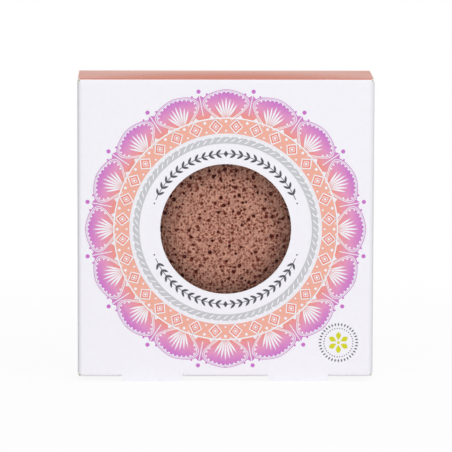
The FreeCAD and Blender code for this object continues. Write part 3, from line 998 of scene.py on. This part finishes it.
def chance(cell, salt):
    """Four even random numbers for each whole-numbered cell, from a mix of its three numbers and a salt."""
    mixed = salt * 2654435761
    for axis, factor in enumerate((73856093, 19349663, 83492791)):
        mixed = mixed ^ (cell[..., axis] * factor)
    found = []
    for step in range(1, 5):
        mixed = (mixed + 0x9E3779B9 * step) & 0xFFFFFFFF
        for _ in range(2):
            mixed = ((mixed ^ (mixed >> 16)) * 0x45D9F3B) & 0xFFFFFFFF
        mixed = mixed ^ (mixed >> 16)
        found.append(mixed / 0xFFFFFFFF)
    return np.stack(found, axis=-1)


def bubble_depth(points, inward, size, radius, share, salt):
    """How far each point must go inwards to reach the far side of the bubbles that it lies in.

    Space is cut into cubes that stand askew to the sponge, and a share of them hold one ball each at a random
    place near the middle. A point inside a ball goes along its inward direction to where that line leaves
    the ball.
    """
    askew = np.array(Matrix.Rotation(ASKEW_X, 3, "X") @ Matrix.Rotation(ASKEW_Z, 3, "Z"))
    points, inward = points @ askew, inward @ askew
    depth = np.zeros(len(points))
    home = np.floor(points / size).astype(np.int64)
    for shift in np.ndindex(3, 3, 3):
        cell = home + np.array(shift) - 1
        draw = chance(cell, salt)
        centre = (cell + MIDDLE_START + MIDDLE_ROOM * draw[:, :3]) * size
        ball = radius * (SMALLEST + (1 - SMALLEST) * chance(cell, salt + 7)[:, 0])
        offset = points - centre
        head = np.einsum("ij,ij->i", offset, inward)
        apart = np.einsum("ij,ij->i", offset, offset)
        room = head ** 2 - apart + ball ** 2
        inside = (apart < ball ** 2) & (draw[:, 3] < share)
        way = np.where(inside, np.sqrt(np.maximum(room, 0)) - head, 0)
        depth = np.maximum(depth, way)
    return depth


def soft_hills(points, size):
    """Slow swell of the surface: the mean of three sine waves in different directions, from 0 to 1."""
    waves = [((0.31, 0.11, 0.27), 0.4), ((-0.19, 0.23, 0.42), 2.1), ((0.47, -0.29, -0.13), 4.4)]
    total = sum(np.sin(points / MM @ np.array(heading) + phase) for heading, phase in waves)
    return size * (0.5 + total / 6)


def puff_outline(radius, front_depth, back_depth):
    """Half sections of the puff's front and back, as (radius, depth), from the dome's tip and from the rim.

    The dome is a quarter of an ellipse, and the back is a quarter of a flatter curve, whose two shares
    to the fourth power add up to one.
    """
    turn = np.linspace(0, math.pi / 2, 400)
    front = np.column_stack([radius * np.sin(turn), front_depth * (1 - np.cos(turn))])
    back = np.column_stack([radius * np.cos(turn) ** 0.5, front_depth + back_depth * np.sin(turn) ** 0.5])
    return front, back


def sponge_sheet(outline, spacing, inside_out):
    """Points of half the puff and their inward directions: a square grid bent to a disc.

    The larger of a point's two shares is its way from the middle to the rim, along the outline, and its
    place on that square's edge is its turn about the axis.
    """
    steps = np.concatenate([[0], np.cumsum(np.linalg.norm(np.diff(outline, axis=0), axis=1))])
    half = round(steps[-1] / spacing)
    share = np.linspace(-1, 1, 2 * half + 1)
    across, up = np.meshgrid(share, share)
    reach = np.maximum(np.abs(across), np.abs(up))
    safe = np.where(reach == 0, 1, reach)
    eighth = math.pi / 4
    turn = np.where(
        np.abs(across) >= np.abs(up),
        np.where(across > 0, 0, math.pi) + eighth * up / safe * np.sign(across + (across == 0)),
        np.where(up > 0, math.pi / 2, -math.pi / 2) - eighth * across / safe * np.sign(up + (up == 0)),
    )
    heading = np.gradient(outline, axis=0)
    radius, depth, slope_radius, slope_depth = (
        np.interp(reach * steps[-1], steps, values) for values in (*outline.T, *heading.T)
    )
    points = np.stack([radius * np.cos(turn), depth, radius * np.sin(turn)], axis=-1)
    inward = np.stack([-slope_depth * np.cos(turn), slope_radius, -slope_depth * np.sin(turn)], axis=-1)
    if inside_out:
        inward = -inward
    return points, inward / np.linalg.norm(inward, axis=-1, keepdims=True)


# Operators


class Dress:
    """What every operator of this panel shares: it makes its pieces from the scene's settings."""

    bl_options = {"REGISTER", "UNDO"}

    def execute(self, context):
        self.make(context.scene.sponge_box)
        return {"FINISHED"}


class SPONGEBOX_OT_walls(Dress, Operator):
    """Makes the four walls and the glue flap of the carton's sleeve"""

    bl_idname = "sponge_box.walls"
    bl_label = "Walls"

    def make(self, box):
        """Adds the sleeve's five boards."""
        sizes = box.carton
        add_board("front_panel", front_wall(sizes), "sleeve", "white_board", box)
        add_board("right_side_panel", side_wall(1, sizes), "sleeve", "white_board", box)
        add_board("left_side_panel", side_wall(-1, sizes), "sleeve", "white_board", box)
        add_board("back_panel", back_wall(sizes), "sleeve", "white_board", box)
        add_board("glue_flap", glue_flap(sizes), "sleeve", "uncoated_board", box)


class SPONGEBOX_OT_closures(Dress, Operator):
    """Makes the lid, the base, their tuck tabs and the four dust flaps"""

    bl_idname = "sponge_box.closures"
    bl_label = "Lid and base"

    def make(self, box):
        """Adds the four boards of each end. The base's coral ends at its front crease."""
        sizes = box.carton
        for end, look in (("lid", None), ("base", "ended")):
            add_board(end + "_panel", closure_panel(end, sizes), end, "coral_board", box, look)
            add_board(end + "_tuck_tab", tuck_tab(end, sizes), end + "_tab", "coral_board", box)
            for side, word in ((1, "right"), (-1, "left")):
                flap = dust_flap(end, side, sizes)
                add_board(f"{end}_dust_flap_{word}", flap, f"{end}_flap_{word}", "white_board", box)


class SPONGEBOX_OT_window(Dress, Operator):
    """Gives the film and the glue their finishes"""

    bl_idname = "sponge_box.window"
    bl_label = "Film and glue"

    def make(self, box):
        """Puts the finishes in the CAD nodes' slots."""
        film, glue = cellulose_film(box.colours.film), dried_glue(box.colours.glue)
        for name, finish in (("window_film", film), ("window_glue", glue), ("seam_glue", glue)):
            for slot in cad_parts[name].material_slots:
                slot.material = finish


class SPONGEBOX_OT_ring(Dress, Operator):
    """Prints the ring of shells, lozenges and rope round the window"""

    bl_idname = "sponge_box.ring"
    bl_label = "Ring ornament"

    def make(self, box):
        """Adds the ring's inks from the lowest to the highest."""
        ink, colours = box.print, box.colours
        count = ink.shells
        white = coated_board("Bare varnished white in the print", shade(colours.white, 1.02))
        coral = coated_board("Coral offset ink", colours.ring_coral)
        pale = coated_board("Coral halftone ink", colours.pale_coral)
        grey = coated_board("Grey offset ink", colours.grey)
        places = (ink.blend_start, ink.blend_middle, ink.blend_end)
        tints = (colours.ring_coral, colours.pink, colours.orchid)
        blend = coated_board("Orchid to coral offset inks", ramp=list(zip(places, tints)))
        root = ink.band_outer - ink.shell_root
        shell = lobe(ink.shell_tip - root, ink.shell_width, fullness=1.5, sharpness=0.62, rows=33, columns=9)
        leaf = lobe(ink.leaf_tip - root, ink.leaf_width, fullness=1.25, sharpness=1.1, rows=21, columns=5)
        leaves = ring_of(leaf, root, count, 0.5)
        band_inner = ink.grey_outer + ink.band_gap
        add_print("leaf_ink", [leaves], 0, blend, box)
        add_print("shell_ink", [ring_of(shell, root, count)], 1, blend, box)
        add_print("lozenge_band_ink", [band(band_inner, ink.band_outer)], 2, pale, box)
        add_print("rope_ring_ink", [band(ink.grey_inner, ink.grey_outer)], 0, grey, box)
        vein_width, first_row = 0.3 * MM, 8
        veins = ribbon(leaves[:, first_row:, leaf.shape[1] // 2], vein_width)
        add_print("shell_lines", [*self.shell_marks(ink, shell, root), veins], 3, white, box)
        berry, berry_place = disc(0.72 * MM), ink.leaf_tip + 1.3 * MM
        dot, dot_place, dot_starts = disc(0.34 * MM), ink.shell_tip - 1.2 * MM, (0.36, 0.64)
        berries = [ring_of(berry, berry_place, count, 0.5)]
        berries += [ring_of(dot, dot_place, count, start) for start in dot_starts]
        add_print("berry_ink", berries, 0, blend, box)
        middle = (band_inner + ink.band_outer) / 2
        diamond = lozenge(ink.lozenge_length, ink.lozenge_width)
        lozenges = ring_of(diamond, middle - ink.lozenge_length / 2, 2 * count, 0.5)
        add_print("lozenge_ink", [lozenges], 4, coral, box)
        add_print("lozenge_lines", self.band_marks(ink, middle), 5, white, box)
        strand_length, strand_width, slant = 2.5 * MM, 0.4 * MM, math.radians(52)
        strand = turned(lobe(strand_length, strand_width) - (0, strand_length / 2), slant)
        strands = ring_of(strand, (ink.grey_inner + ink.grey_outer) / 2, 5 * count)
        add_print("rope_lines", [strands], 1, white, box)

    def shell_marks(self, ink, shell, root):
        """White marks of the shells: two outlines and a row of beads, drawn in, and a fan of seven ribs.

        The ribs lean from one place under the band's edge, and the more they lean the shorter they are.
        """
        outline_shares, bead_share, beads = (0.93, 0.86), 0.795, 15
        rib_place, rib_leans = 0.9 * MM, (-34, -22.5, -11, 0, 11, 22.5, 34)
        outlines = [ring_of(drawn_in(shell, share), root, ink.shells) for share in outline_shares]
        marks = [ribbon(outline, ink.line) for outline in outlines]
        rib, bead = lobe(7.0 * MM, 0.62 * MM, fullness=1.2), disc(0.3 * MM)
        for lean in rib_leans:
            shorter = 1.05 - abs(lean) / 160
            leaning = turned(rib * (1, shorter) + (0, rib_place), math.radians(lean))
            marks.append(ring_of(leaning, ink.band_outer - rib_place, ink.shells))
        row = bead_row(drawn_in(shell, bead_share)[8:-8], beads)
        marks.append(ring_of(bead + row[:, None, None], root, ink.shells))
        return marks

    def band_marks(self, ink, middle):
        """White marks of the band: two outlines and a dot in each lozenge, dots between them and two rims."""
        count, bold_line = 2 * ink.shells, 0.42 * MM
        small_length, small_width = 2.3 * MM, 2.0 * MM
        heart, outer_dot, inner_dot = disc(0.42 * MM), disc(0.5 * MM), disc(0.36 * MM)
        bead = disc(0.62 * MM, 9)
        outer_place, inner_place = ink.band_outer - 1.0 * MM, ink.grey_outer + 2.1 * MM
        bead_place = ink.grey_outer + 0.25 * MM
        outer_rim = (ink.band_outer - 0.1 * MM, ink.band_outer + 0.35 * MM)
        inner_rim = (ink.grey_outer + 0.75 * MM, ink.grey_outer + 1.2 * MM)
        return [
            outlined(ink.lozenge_length, ink.lozenge_width, middle, count, bold_line),
            outlined(small_length, small_width, middle, count, ink.line),
            ring_of(heart, middle, count, 0.5),
            ring_of(outer_dot, outer_place, count),
            ring_of(inner_dot, inner_place, count),
            band(*outer_rim),
            band(*inner_rim),
            ring_of(bead, bead_place, 2 * count, 0.5),
        ]


class SPONGEBOX_OT_vine(Dress, Operator):
    """Prints the two leafy arcs between the window and the ring"""

    bl_idname = "sponge_box.vine"
    bl_label = "Leafy arcs"

    def make(self, box):
        """Adds the arcs over and under the window, each with a bud, a stem, leaves and two end dots."""
        ink = box.print
        dark = coated_board("Dark grey offset ink", box.colours.dark)
        leaf = lobe(2.4 * MM, 0.8 * MM, fullness=0.9, sharpness=0.9, rows=11)
        bud_length, bud_width, dot_radius = 2.2 * MM, 1.6 * MM, 0.28 * MM
        # Degrees from the bud, and the leaves' lean to the stem
        first_leaf, last_leaf, stem_end, end_dot = 7.5, 63, 67, 70
        leaf_leans = (52, 128)
        artwork = []
        for bud in (0, 180):
            for side in (-1, 1):
                places = np.radians(bud + side * np.linspace(first_leaf, last_leaf, ink.vine_pairs))
                for lean in leaf_leans:
                    sprig = turned(leaf, math.radians(-side * lean))
                    artwork.append(turned(sprig + (0, ink.vine_radius), places))
                dot = disc(dot_radius) + (0, ink.vine_radius)
                artwork.append(turned(dot, np.radians([bud + side * end_dot])))
            stem = np.radians(bud + np.linspace(-stem_end, stem_end, 160))
            artwork.append(ribbon(np.column_stack([np.sin(stem), np.cos(stem)]) * ink.vine_radius, ink.line))
            diamond = lozenge(bud_length, bud_width) + (0, ink.vine_radius - bud_length / 2)
            artwork.append(turned(diamond, np.radians([bud])))
        add_print("vine_ink", artwork, 0, dark, box)


class SPONGEBOX_OT_rosette(Dress, Operator):
    """Prints the small rosette in the corner"""

    bl_idname = "sponge_box.rosette"
    bl_label = "Corner rosette"

    def make(self, box):
        """Adds a ring of ticks and dots, and six petals round a heart."""
        ink, colours = box.print, box.colours
        centre = (ink.badge_x, -ink.badge_drop)
        ticks, petals = 36, 6
        tick_length, tick_width, dot_radius, heart_radius = 1.15 * MM, 0.5 * MM, 0.2 * MM, 0.5 * MM
        dot_place, petal_place = ink.badge_radius - 1.9 * MM, 0.75 * MM
        dark = coated_board("Dark grey ink of the rosette", shade(colours.dark, 1.4))
        lime = coated_board("Yellow-green offset ink", colours.lime)
        ring = ring_of(lobe(tick_length, tick_width), ink.badge_radius - tick_length, ticks)
        dots = ring_of(disc(dot_radius), dot_place, ticks, 0.5)
        petal = lobe(2.9 * MM, 1.7 * MM, fullness=1.3, rows=17, columns=5)
        flower = ring_of(petal, petal_place, petals)
        heart = disc(heart_radius, 11)
        add_print("rosette_ring_ink", [ring + centre, dots + centre], 0, dark, box)
        add_print("rosette_petal_ink", [flower + centre, heart + centre], 0, lime, box)


class SPONGEBOX_OT_sponge(Dress, Operator):
    """Makes the sponge with its open pores"""

    bl_idname = "sponge_box.sponge"
    bl_label = "Sponge"

    def make(self, box):
        """Adds the sponge: its dome and its back, each pushed in by the pores and the soft hills."""
        sizes, colours = box.sponge, box.colours
        width, thickness, height = SPONGE_HIGH - SPONGE_LOW
        front_depth = thickness * sizes.rim_share
        middle = np.array([0, SPONGE_LOW[1], SPONGE_LOW[2] + height / 2])
        front, rear = puff_outline(width / 2, front_depth, thickness - front_depth)
        families = (
            (sizes.large_cell, sizes.large_pore, sizes.crowding, 11),
            (sizes.middle_cell, sizes.middle_pore, sizes.crowding, 29),
        )
        parts, depths = [], []
        for outline, behind in ((front, False), (rear[::-1], True)):
            sheet, inward = sponge_sheet(outline, sizes.spacing, behind)
            points, inward = sheet.reshape(-1, 3) + middle, inward.reshape(-1, 3)
            pores = np.max([bubble_depth(points, inward, *family) for family in families], axis=0)
            moved = points + inward * (pores + soft_hills(points, sizes.swell))[:, None]
            parts.append(facing_out(*cells(moved.reshape(sheet.shape)), inward))
            depths.append(pores)
        depth = np.clip(np.concatenate(depths) / sizes.large_pore, 0, 1)
        mesh = mesh_of("konjac_sponge", *together(parts), pore_depth=depth)
        foam = konjac_foam(colours.terracotta, colours.pore, colours.deep_pore_shade)
        made = piece(mesh, [foam], "sponge", ("sponge",))


class SPONGEBOX_OT_stage(Dress, Operator):
    """Sets up the floor, the lamps and the camera"""

    bl_idname = "sponge_box.stage"
    bl_label = "Stage"

    def make(self, box):
        """Lights the carton from both sides and from above, and looks at it as the photograph does."""
        stage = box.stage
        self.floor(stage)
        self.world(stage)
        self.lamp("Left soft box", place=(-1.2, -1.2, 0.7), size=1.3, power=stage.left)
        self.lamp("Right soft box", place=(1.4, -1.05, 0.7), size=1.3, power=stage.right)
        self.lamp("Top soft box", place=(0.1, -0.5, 1.4), size=1.0, power=stage.top)
        self.camera(stage)
        bpy.context.scene.view_settings.view_transform = "Standard"

    def floor(self, stage):
        """Wide matt floor with the carton's shadow. Camera rays meet it near the carton, and white beyond."""
        side = np.linspace(-stage.floor, stage.floor, 9)
        across, along = np.meshgrid(side, side)
        skin = cells(np.stack([across, along, np.zeros_like(across)], axis=-1))
        made = linked("floor", mesh_of("floor", *facing(*skin, Z_AXIS)))
        finish, tree, place = material("Matt white paper sweep")
        reach = node(tree, "VectorMath", {0: place}, out="Value", operation="LENGTH")
        range_of = {"Value": reach, "From Min": stage.fade_start, "From Max": stage.fade_end}
        fade = node(tree, "MapRange", range_of, interpolation_type="SMOOTHSTEP")
        tooth = node(tree, "TexNoise", {"Vector": place, "Scale": 1 / (2 * MM), "Detail": 3.0})
        tone = node(tree, "MapRange", {"Value": tooth, "To Min": 0.88, "To Max": 0.92})
        diffuse = node(tree, "BsdfDiffuse", {"Color": tone})
        glow = node(tree, "Emission", {"Color": WHITE, "Strength": 1.0})
        both = node(tree, "MixShader", {0: stage.shadow, 1: glow, 2: diffuse})
        faded = node(tree, "MixShader", {0: fade, 1: both, 2: node(tree, "BsdfTransparent")})
        camera_ray = node(tree, "LightPath", out="Is Camera Ray")
        seen = node(tree, "MixShader", {0: camera_ray, 1: diffuse, 2: faded})
        node(tree, "OutputMaterial", {"Surface": seen})
        made.data.materials.append(finish)

    def world(self, stage):
        """Even pale light, which camera, mirror and see-through rays meet as white."""
        world = bpy.data.worlds.new("Studio")
        bpy.context.scene.world = world
        world.use_nodes = True
        tree = world.node_tree
        tree.nodes.clear()
        seen = node(tree, "LightPath", out="Is Camera Ray")
        for ray in ("Is Glossy Ray", "Is Transmission Ray"):
            seen = node(tree, "Math", {0: seen, 1: node(tree, "LightPath", out=ray)}, operation="MAXIMUM")
        light = node(tree, "Background", {"Color": WHITE, "Strength": stage.sky})
        white = node(tree, "Background", {"Color": WHITE, "Strength": 1.0})
        node(tree, "OutputWorld", {"Surface": node(tree, "MixShader", {0: seen, 1: light, 2: white})})

    def lamp(self, name, place, size, power):
        """Square soft box that looks at the carton's middle."""
        light = bpy.data.lights.new(name, "AREA")
        light.shape = "SQUARE"
        light.size = size
        light.energy = power
        made = linked(name, light)
        made.location = place
        half_height = 50 * MM
        made.rotation_euler = Vector(Z_AXIS * half_height - place).to_track_quat("-Z", "Y").to_euler()

    def camera(self, stage):
        """Camera fitted to the carton's corners in the photograph."""
        data = bpy.data.cameras.new("Camera")
        data.sensor_width = 36
        data.lens = stage.lens
        data.clip_end = 100
        made = linked("Camera", data)
        back = np.array([
            math.sin(stage.azimuth) * math.cos(stage.elevation),
            -math.cos(stage.azimuth) * math.cos(stage.elevation),
            math.sin(stage.elevation),
        ])
        made.location = np.array([stage.aim_x, 0, stage.aim_z]) + back * stage.distance
        right = np.cross(-back, Z_AXIS)
        right /= np.linalg.norm(right)
        up = np.cross(right, -back)
        tilted = right * math.cos(stage.roll) + up * math.sin(stage.roll)
        upright = up * math.cos(stage.roll) - right * math.sin(stage.roll)
        made.rotation_euler = Matrix(np.column_stack([tilted, upright, back]).tolist()).to_euler()
        bpy.context.scene.camera = made


STEPS = (
    SPONGEBOX_OT_walls, SPONGEBOX_OT_closures, SPONGEBOX_OT_window, SPONGEBOX_OT_ring,
    SPONGEBOX_OT_vine, SPONGEBOX_OT_rosette, SPONGEBOX_OT_sponge, SPONGEBOX_OT_stage,
)


class SpongeBox(PropertyGroup):
    """Everything that the panel sets."""

    carton: PointerProperty(type=CartonSizes)
    print: PointerProperty(type=PrintSizes)
    sponge: PointerProperty(type=SpongeSizes)
    colours: PointerProperty(type=Colours)
    stage: PointerProperty(type=StageSettings)


class SPONGEBOX_PT_panel(Panel):
    """Sidebar panel with every step of the sponge box"""

    bl_label = "Sponge box"
    bl_idname = "SPONGEBOX_PT_panel"
    bl_space_type = "VIEW_3D"
    bl_region_type = "UI"
    bl_category = "Sponge box"

    def draw(self, context):
        """Lists the steps as buttons, and each group's settings in a box."""
        for step in STEPS:
            self.layout.operator(step.bl_idname)
        box = context.scene.sponge_box
        for group in (box.carton, box.print, box.sponge, box.colours, box.stage):
            column = self.layout.box().column()
            for name in group.__annotations__:
                column.prop(group, name)


CLASSES = (
    CartonSizes, PrintSizes, SpongeSizes, Colours, StageSettings, SpongeBox, *STEPS, SPONGEBOX_PT_panel
)


def register():
    """Adds the settings, the steps and the panel to Blender."""
    for one in CLASSES:
        bpy.utils.register_class(one)
    bpy.types.Scene.sponge_box = PointerProperty(type=SpongeBox)


def unregister():
    """Takes them out again."""
    del bpy.types.Scene.sponge_box
    for one in reversed(CLASSES):
        bpy.utils.unregister_class(one)


def main():
    """Runs every step in order."""
    register()
    for step in STEPS:
        group, name = step.bl_idname.split(".")
        getattr(getattr(bpy.ops, group), name)()


if __name__ == "__main__":
    main()
